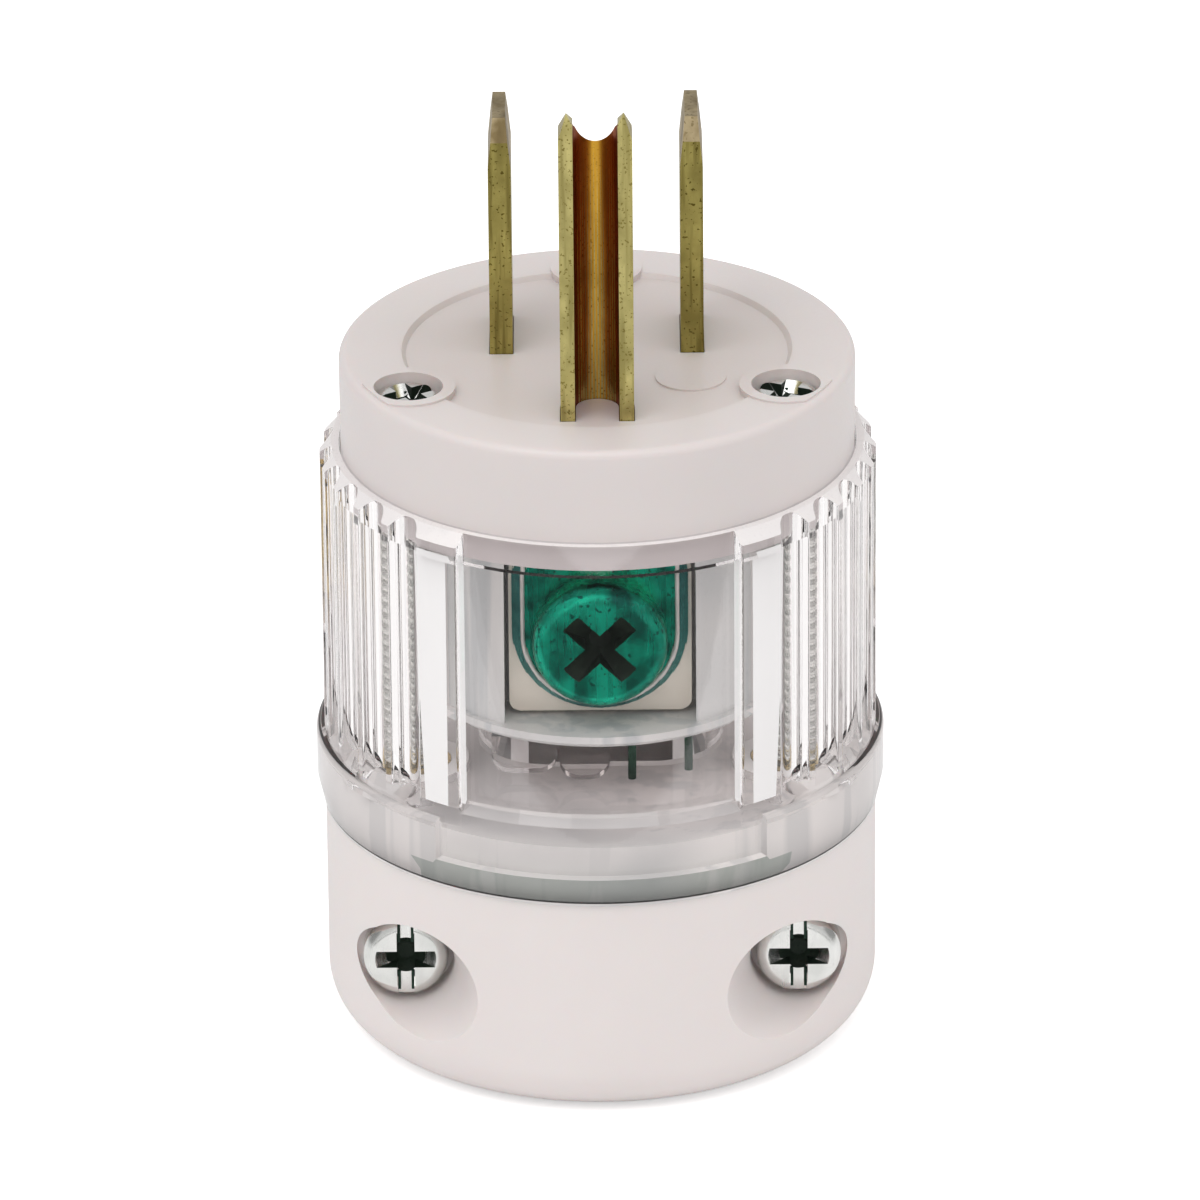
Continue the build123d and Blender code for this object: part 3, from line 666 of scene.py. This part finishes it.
# Painted shade in the recesses of the screws' heads
recessShade = newMaterial(
    "recessShade", handledMetal,
    {
        "Clean Color": (0.02, 0.032, 0.022, 1), "Tarnish Color": (0.004, 0.008, 0.006, 1),
        "Tarnish": 0.8, "Streaks": 0.2, "Specks": 0.5, "Speck Scale": 5000.0,
        "Low Roughness": 0.3, "High Roughness": 0.5,
    },
    {"Specular IOR Level": 0.12},
    bump=0.1, bumpDistance=0.02,
)
materialOf = {
    "white_nylon": whiteNylon,
    "clear_polycarbonate": clearPolycarbonate,
    "tarnished_brass": bladeBrass,
    "bright_brass": turnedBrass,
    "nickel_steel": nickelSteel,
    "green_steel": greenSteel,
    "plated_steel": creamPlate,
}

print("stage: smooth copies of the CAD pieces")

copySetup = {"mergeDistance": 0.0005, "cutTolerance": 0.0001, "sharpAngle": 28}      # mm, mm, degrees


# A piece has its node's name, written as one word
def pieceNameOf(nodeName):
    first, *others = nodeName.split("_")
    return first + "".join(word.capitalize() for word in others)


def place(mesh, name):
    piece = bpy.data.objects.new(name, mesh)
    bpy.context.scene.collection.objects.link(piece)
    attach(piece, "root")
    return piece


# The node's own triangles, joined at their edges and shaded smooth up to a sharp angle
def smoothCopy(nodeName):
    name = pieceNameOf(nodeName)
    mesh = nodes[nodeName].data.copy()
    mesh.name = name
    if "custom_normal" in mesh.attributes:
        mesh.attributes.remove(mesh.attributes["custom_normal"])
    work = bmesh.new()
    work.from_mesh(mesh)
    bmesh.ops.remove_doubles(work, verts=work.verts, dist=copySetup["mergeDistance"] * mm)
    for face in work.faces:
        face.smooth = True
    work.to_mesh(mesh)
    work.free()
    mesh.set_sharp_from_angle(angle=math.radians(copySetup["sharpAngle"]))
    mesh.materials.clear()
    mesh.materials.append(materialOf[slotOf[nodeName]])
    piece = place(mesh, name)
    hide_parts(nodeName)
    return piece


dressedNodes = (
    "front_body", "wiring_block", "clear_housing", "rear_cap", "clamp_jaw",
    "hot_blade", "neutral_blade", "ground_pin",
    "hot_clamp_plate", "neutral_clamp_plate", "ground_clamp_plate",
    "hot_washer", "neutral_washer", "ground_washer",
    "assembly_insert_left", "assembly_insert_right", "clamp_insert_left", "clamp_insert_right",
)
dressed = {}
for nodeName in dressedNodes:
    dressed[nodeName] = smoothCopy(nodeName)
dressed["front_body"].data.materials[0] = faceNylon
dressed["wiring_block"].data.materials[0] = blockNylon
dressed["ground_pin"].data.materials[0] = pinBrass


# Cuts the copy's triangles along a level line, so that a material can end there
def cutLevel(piece, height):
    work = bmesh.new()
    work.from_mesh(piece.data)
    parts = work.verts[:] + work.edges[:] + work.faces[:]
    level = (0, 0, height * mm)
    tolerance = copySetup["cutTolerance"] * mm
    bmesh.ops.bisect_plane(work, geom=parts, dist=tolerance, plane_co=level, plane_no=(0, 0, 1))
    work.to_mesh(piece.data)
    work.free()


# Gives the faces that the test picks a second material
def paintFaces(piece, material, test):
    piece.data.materials.append(material)
    last = len(piece.data.materials) - 1
    for face in piece.data.polygons:
        if test(face.center / mm, face.normal):
            face.material_index = last


# How far a face points away from the plug's axis, from -1 to 1
def outwardShare(middle, normal):
    return middle.to_2d().normalized().dot(normal.to_2d())


# Where the pieces change their look: places in mm, and the parts of a face's normal that set the limit
channel = {"halfWidth": 1.5, "frontY": -11.4, "bottom": 48.0, "normalY": 0.2}
bladeTip = {"bevelBottom": 61.8, "normalZ": 0.05}
ringLip = {"low": 16.0, "high": 18.2, "frontY": -14.5, "normalY": -0.4}
blockFront = {"halfWidth": 9.8, "frontY": -6.0}
housingFoot = {
    "top": 21.4,
    "outerRadius": 17.6,
    "lipTop": 18.3,
    "edgeTop": 16.2,
    "inwards": -0.5,
    "upwards": 0.7,
    "downwards": -0.3,
}
housingRail = {
    "near": 34.5,       # degrees round from the front, as is far
    "far": 43.0,
    "bottom": 21.4,
    "top": 39.8,
    "inwards": -0.8,
}
housingRim = {"bottom": 40.9, "normalZ": 0.2}
washerFlat = -0.95
skirtTop = 41.75
deckBottom = 19.65


def insideChannel(middle, normal):
    inside = abs(middle.x) < channel["halfWidth"] and middle.z > channel["bottom"]
    return inside and middle.y > channel["frontY"] and normal.y < channel["normalY"]


def onBladeBevel(middle, normal):
    return middle.z > bladeTip["bevelBottom"] and normal.z > bladeTip["normalZ"]


def onRingLip(middle, normal):
    inBand = ringLip["low"] < middle.z < ringLip["high"]
    return inBand and middle.y < ringLip["frontY"] and normal.y < ringLip["normalY"]


# The block's part behind the window is greyer than its sides
def onBlockFront(middle, normal):
    return abs(middle.x) < blockFront["halfWidth"] and middle.y < blockFront["frontY"]


# The foot's bore and underside lie against the cap
def onHousingSeat(middle, normal):
    inwards = outwardShare(middle, normal) < housingFoot["inwards"]
    bore = inwards and middle.to_2d().length < housingFoot["outerRadius"]
    lip = middle.z < housingFoot["lipTop"] and normal.z > housingFoot["upwards"]
    under = normal.z < housingFoot["downwards"] or middle.z < housingFoot["edgeTop"]
    return middle.z < housingFoot["top"] and (bore or lip or under)


# Two upright strips of the bore, behind the posts beside the front window, that carry the painted highlight
def onHousingRail(middle, normal):
    turn = math.degrees(math.atan2(abs(middle.x), -middle.y))
    inHeight = housingRail["bottom"] < middle.z < housingRail["top"]
    inTurn = housingRail["near"] < turn < housingRail["far"]
    onBore = middle.to_2d().length < housingFoot["outerRadius"]
    inwards = outwardShare(middle, normal) < housingRail["inwards"]
    return inHeight and inTurn and onBore and inwards


def onHousingRim(middle, normal):
    return middle.z > housingRim["bottom"] and normal.z > housingRim["normalZ"]


def onDeck(middle, normal):
    return middle.z > deckBottom


def onSkirt(middle, normal):
    return middle.z < skirtTop


def onWasherBevel(middle, normal):
    return normal.y > washerFlat


paintFaces(dressed["clear_housing"], ringLipDarkReflection, onRingLip)
for height in (housingFoot["edgeTop"], housingFoot["top"], housingRail["top"]):
    cutLevel(dressed["clear_housing"], height)
for nodeName, material, test in (
    ("ground_pin", channelSheenBrass, insideChannel),
    ("hot_blade", tipLitBrass, onBladeBevel),
    ("neutral_blade", tipLitBrass, onBladeBevel),
    ("clear_housing", seatWhite, onHousingSeat),
    ("clear_housing", railHighlight, onHousingRail),
    ("clear_housing", paleLitRim, onHousingRim),
    ("rear_cap", deckLitNylon, onDeck),
    ("front_body", skirtShadeNylon, onSkirt),
    ("ground_washer", greenWasherShade, onWasherBevel),
    ("wiring_block", blockShade, onBlockFront),
):
    paintFaces(dressed[nodeName], material, test)

print("stage: screws")

# Where each screw's head faces, how deep its straight slot is in mm, and how far it is turned in degrees
screwRows = {
    "assembly_screw_left": ((0, 0, 1), 0.8, 32),
    "assembly_screw_right": ((0, 0, 1), 0.8, -24),
    "clamp_screw_left": ((0, -1, 0), 0.8, 0),
    "clamp_screw_right": ((0, -1, 0), 0.8, 0),
    "ground_terminal_screw": ((0, -1, 0), 0.0, 0),
    "hot_terminal_screw": ((-1, 0, 0), 0.0, 0),
    "neutral_terminal_screw": ((1, 0, 0), 0.0, 0),
}

# What counts as recess in a head: depths in mm, and shares of the head's radius
recess = {
    "shallowest": 0.02,
    "deepest": 2.4,
    "floorMargin": 0.05,
    "reach": 0.9,
    "crossReach": 0.7,
    "outwards": 0.6,
    "wall": 0.5,
}

# Grime and painted shade that lie along both sides of a straight slot: mm, and its end as a share of the
# head's radius
grimeAndShade = {"inner": 0.36, "outer": 0.545, "start": 1.1, "end": 0.85, "height": 0.35}


# The middle of a screw's box, how far its head reaches in the way that it faces, and the head's radius
def headSize(nodeName, facing):
    low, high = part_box(nodeName)
    top = max(facing.dot(low), facing.dot(high))
    radius = max(high[axis] - low[axis] for axis in range(3) if not facing[axis]) / 2
    return (low + high) / 2, top, radius


# The point on the floor under a screw's middle
def footOf(nodeName):
    low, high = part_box(nodeName)
    return Vector(((low.x + high.x) / 2, (low.y + high.y) / 2, 0))


# The walls of the slot and all of the cross get painted shade, and the floor of the slot stays bright
def darkenRecess(piece, nodeName, facing, slotDepth):
    middle, top, radius = headSize(nodeName, facing)
    for face in piece.data.polygons:
        depth = top - facing.dot(face.center)
        offset = face.center - middle
        offset -= facing * facing.dot(offset)
        inDepth = recess["shallowest"] * mm < depth < recess["deepest"] * mm
        if not inDepth or offset.length > radius * recess["reach"]:
            continue
        outwards = offset.normalized().dot(face.normal) > recess["outwards"]
        wall = abs(facing.dot(face.normal)) < recess["wall"]
        belowSlot = depth > (slotDepth + recess["floorMargin"]) * mm
        cross = belowSlot and offset.length < radius * recess["crossReach"]
        if (wall or cross) and not outwards:
            face.material_index = 1


# Four small dark bars of grime and painted shade in the corners of the slot, two on each side of the cross
def addSlotGrimeAndShade(nodeName, facing, slotDepth, turn):
    middle, top, radius = headSize(nodeName, facing)
    crown = middle + facing * (top - facing.dot(middle))
    upright = Matrix.Identity(4) if facing.z else Matrix.Rotation(math.pi / 2, 4, "X")
    spin = Matrix.Rotation(math.radians(turn), 4, "Z")
    start, end = grimeAndShade["start"] * mm, grimeAndShade["end"] * radius
    inner, outer = grimeAndShade["inner"] * mm, grimeAndShade["outer"] * mm
    height = grimeAndShade["height"] * mm
    size = Matrix.Diagonal((outer - inner, end - start, height, 1))
    work = bmesh.new()
    for side in (-1, 1):
        for way in (-1, 1):
            bar = bmesh.ops.create_cube(work, size=1.0)["verts"]
            spot = (side * (outer + inner) / 2, way * (start + end) / 2, height / 2 - slotDepth * mm)
            bmesh.ops.transform(work, matrix=Matrix.Translation(spot) @ size, verts=bar)
    bmesh.ops.transform(work, matrix=Matrix.Translation(crown) @ upright @ spin, verts=work.verts)
    pieceName = pieceNameOf(nodeName) + "Dirt"
    mesh = bpy.data.meshes.new(pieceName)
    work.to_mesh(mesh)
    work.free()
    mesh.materials.append(slotDirt)
    place(mesh, pieceName)


for nodeName, (direction, slotDepth, turn) in screwRows.items():
    facing = Vector(direction)
    screw = smoothCopy(nodeName)
    screw.data.materials.append(recessShade)
    darkenRecess(screw, nodeName, facing, slotDepth)
    if turn:
        foot = footOf(nodeName)
        spin = Matrix.Rotation(math.radians(turn), 4, "Z")
        screw.data.transform(Matrix.Translation(foot) @ spin @ Matrix.Translation(-foot))
    if slotDepth:
        addSlotGrimeAndShade(nodeName, facing, slotDepth, turn)

print("stage: screw threads")

thread = {
    "pitch": 0.8,       # mm
    "depth": 0.3,
    "ridgeWidth": 0.64,
    "root": 1.45,
    "top": 38.4,
    "bottom": 21.5,
    "steps": 36,        # points in one turn
}


# A new tree with named inputs (name, kind) and one mesh as its result
def newGrowthTree(name, inputs):
    tree = bpy.data.node_groups.new(name, "GeometryNodeTree")
    for label, kind in inputs:
        tree.interface.new_socket(label, in_out="INPUT", socket_type=kind)
    tree.interface.new_socket("Geometry", in_out="OUTPUT", socket_type="NodeSocketGeometry")
    return tree, tree.nodes.new("NodeGroupInput"), tree.nodes.new("NodeGroupOutput")


# Sweeps the section along the curve, gives it the material and makes it real
def finishSweep(tree, given, result, curve, section):
    sweep = tree.nodes.new("GeometryNodeCurveToMesh")
    sweep.inputs["Fill Caps"].default_value = True
    tree.links.new(curve, sweep.inputs["Curve"])
    tree.links.new(section, sweep.inputs["Profile Curve"])
    real = tree.nodes.new("GeometryNodeRealizeInstances")
    tree.links.new(sweep.outputs["Mesh"], real.inputs["Geometry"])
    painted = tree.nodes.new("GeometryNodeSetMaterial")
    tree.links.new(real.outputs["Geometry"], painted.inputs["Geometry"])
    tree.links.new(given.outputs["Material"], painted.inputs["Material"])
    tree.links.new(painted.outputs["Geometry"], result.inputs["Geometry"])


# A ridge of diamond section that climbs round the shank
def makeThreadTree():
    tree, given, result = newGrowthTree(
        "screwThread",
        [
            ("Turns", "NodeSocketFloat"),
            ("Root Radius", "NodeSocketFloat"),
            ("Length", "NodeSocketFloat"),
            ("Depth", "NodeSocketFloat"),
            ("Ridge Width", "NodeSocketFloat"),
            ("Steps", "NodeSocketInt"),
            ("Material", "NodeSocketMaterial"),
        ],
    )
    spiral = tree.nodes.new("GeometryNodeCurveSpiral")
    tree.links.new(given.outputs["Turns"], spiral.inputs["Rotations"])
    tree.links.new(given.outputs["Root Radius"], spiral.inputs["Start Radius"])
    tree.links.new(given.outputs["Root Radius"], spiral.inputs["End Radius"])
    tree.links.new(given.outputs["Length"], spiral.inputs["Height"])
    tree.links.new(given.outputs["Steps"], spiral.inputs["Resolution"])
    upright = tree.nodes.new("GeometryNodeSetCurveNormal")
    upright.mode = "Z_UP"
    tree.links.new(spiral.outputs["Curve"], upright.inputs["Curve"])
    section = tree.nodes.new("GeometryNodeCurvePrimitiveQuadrilateral")
    section.mode = "KITE"
    depthTwice = addMath(tree, "MULTIPLY", given.outputs["Depth"], 2.0)
    ridgeHalf = addMath(tree, "MULTIPLY", given.outputs["Ridge Width"], 0.5)
    tree.links.new(depthTwice, section.inputs["Width"])
    tree.links.new(ridgeHalf, section.inputs["Bottom Height"])
    tree.links.new(ridgeHalf, section.inputs["Top Height"])
    finishSweep(tree, given, result, upright.outputs["Curve"], section.outputs["Curve"])
    return tree


# Runs a tree on an empty mesh with its inputs set, and gives the result as a plain mesh
def growMesh(tree, name, values):
    carrier = bpy.data.objects.new(name, bpy.data.meshes.new(name))
    bpy.context.scene.collection.objects.link(carrier)
    modifier = carrier.modifiers.new("grow", "NODES")
    modifier.node_group = tree
    for socket in tree.interface.items_tree:
        if socket.item_type == "SOCKET" and socket.in_out == "INPUT":
            modifier[socket.identifier] = values[socket.name]
    graph = bpy.context.evaluated_depsgraph_get()
    mesh = bpy.data.meshes.new_from_object(carrier.evaluated_get(graph), depsgraph=graph)
    bpy.data.objects.remove(carrier)
    mesh.name = name
    return mesh


threadTree = makeThreadTree()
threadLength = thread["top"] - thread["bottom"]
threadNames = {"assembly_screw_left": "assemblyThreadLeft", "assembly_screw_right": "assemblyThreadRight"}
for nodeName, pieceName in threadNames.items():
    ridge = growMesh(threadTree, pieceName, {
        "Turns": threadLength / thread["pitch"],
        "Root Radius": thread["root"] * mm,
        "Length": threadLength * mm,
        "Depth": thread["depth"] * mm,
        "Ridge Width": thread["ridgeWidth"] * mm,
        "Steps": thread["steps"],
        "Material": nickelSteel,
    })
    ridge.transform(Matrix.Translation(footOf(nodeName) + Vector((0, 0, thread["bottom"] * mm))))
    place(ridge, pieceName)

print("stage: washer edge and the clear lobes under the block")

washerEdge = {
    "radius": 5.05,     # mm
    "rise": 5.3,
    "wire": 0.16,
    "y": -10.03,
    "z": 32.0,
    "bendSteps": 48,
    "wireSides": 12,
}


# A round wire bent to a U, lying flat with its open side up
def makeEdgeTree():
    tree, given, result = newGrowthTree(
        "washerEdge",
        [
            ("Radius", "NodeSocketFloat"),
            ("Rise", "NodeSocketFloat"),
            ("Wire Radius", "NodeSocketFloat"),
            ("Material", "NodeSocketMaterial"),
        ],
    )
    bend = tree.nodes.new("GeometryNodeCurveArc")
    bend.inputs["Resolution"].default_value = washerEdge["bendSteps"]
    bend.inputs["Start Angle"].default_value = math.pi
    bend.inputs["Sweep Angle"].default_value = math.pi
    tree.links.new(given.outputs["Radius"], bend.inputs["Radius"])
    joined = tree.nodes.new("GeometryNodeJoinGeometry")
    tree.links.new(bend.outputs["Curve"], joined.inputs["Geometry"])
    for side in (-1.0, 1.0):
        across = addMath(tree, "MULTIPLY", given.outputs["Radius"], side)
        leg = tree.nodes.new("GeometryNodeCurvePrimitiveLine")
        for label, height in (("Start", None), ("End", given.outputs["Rise"])):
            point = tree.nodes.new("ShaderNodeCombineXYZ")
            feed(tree, point.inputs["X"], across)
            feed(tree, point.inputs["Y"], height)
            tree.links.new(point.outputs[0], leg.inputs[label])
        tree.links.new(leg.outputs["Curve"], joined.inputs["Geometry"])
    section = tree.nodes.new("GeometryNodeCurvePrimitiveCircle")
    section.inputs["Resolution"].default_value = washerEdge["wireSides"]
    tree.links.new(given.outputs["Wire Radius"], section.inputs["Radius"])
    finishSweep(tree, given, result, joined.outputs["Geometry"], section.outputs["Curve"])
    return tree


edge = growMesh(makeEdgeTree(), "groundWasherEdge", {
    "Radius": washerEdge["radius"] * mm,
    "Rise": washerEdge["rise"] * mm,
    "Wire Radius": washerEdge["wire"] * mm,
    "Material": washerPale,
})
edgeSpot = Matrix.Translation((0, washerEdge["y"] * mm, washerEdge["z"] * mm))
edge.transform(edgeSpot @ Matrix.Rotation(math.pi / 2, 4, "X"))
place(edge, "groundWasherEdge")

# Two clear lobes and two dark rods hang under the block's front edge
lobes = {
    "rows": [(-5.0, 4.3), (-1.05, 3.3)],    # middle and width, mm
    "top": 24.8,
    "height": 2.7,
    "depth": 1.1,
    "corner": 1.3,
    "cornerStep": 15,       # degrees
    "edgeRadius": 11.7,
}
rods = {"places": (2.06, 5.78), "radius": 0.27, "top": 24.8, "height": 2.6, "edgeRadius": 11.9, "sides": 20}


# A flat lobe with two round lower corners, whose front lies on the block's round edge
def makeLobe(work, middle, width):
    half, corner, step = width / 2, lobes["corner"], lobes["cornerStep"]
    points = [(-half, 0.0), (half, 0.0)]
    for side, angles in ((1, range(0, 91, step)), (-1, range(90, -1, -step))):
        for angle in angles:
            turn = math.radians(angle)
            across = side * (half - corner + corner * math.cos(turn))
            points.append((across, -(lobes["height"] - corner + corner * math.sin(turn))))
    front = -math.sqrt(lobes["edgeRadius"] ** 2 - middle ** 2)
    rings = []
    for y in (front, front + lobes["depth"]):
        ring = [((middle + x) * mm, y * mm, (lobes["top"] + z) * mm) for x, z in points]
        rings.append([work.verts.new(point) for point in ring])
    work.faces.new(rings[0])
    work.faces.new(list(reversed(rings[1])))
    count = len(points)
    for index in range(count):
        after = (index + 1) % count
        work.faces.new((rings[0][after], rings[0][index], rings[1][index], rings[1][after]))


def placeHanging(work, name, material):
    bmesh.ops.recalc_face_normals(work, faces=work.faces)
    mesh = bpy.data.meshes.new(name)
    work.to_mesh(mesh)
    work.free()
    mesh.materials.append(material)
    place(mesh, name)


work = bmesh.new()
for middle, width in lobes["rows"]:
    makeLobe(work, middle, width)
placeHanging(work, "blockLobes", clearPolycarbonate)
work = bmesh.new()
for across in rods["places"]:
    front = -math.sqrt(rods["edgeRadius"] ** 2 - across ** 2)
    middle = Vector((across, front, rods["top"] - rods["height"] / 2)) * mm
    bmesh.ops.create_cone(
        work, cap_ends=True, segments=rods["sides"], radius1=rods["radius"] * mm, radius2=rods["radius"] * mm,
        depth=rods["height"] * mm, matrix=Matrix.Translation(middle),
    )
placeHanging(work, "blockRods", slotDirt)
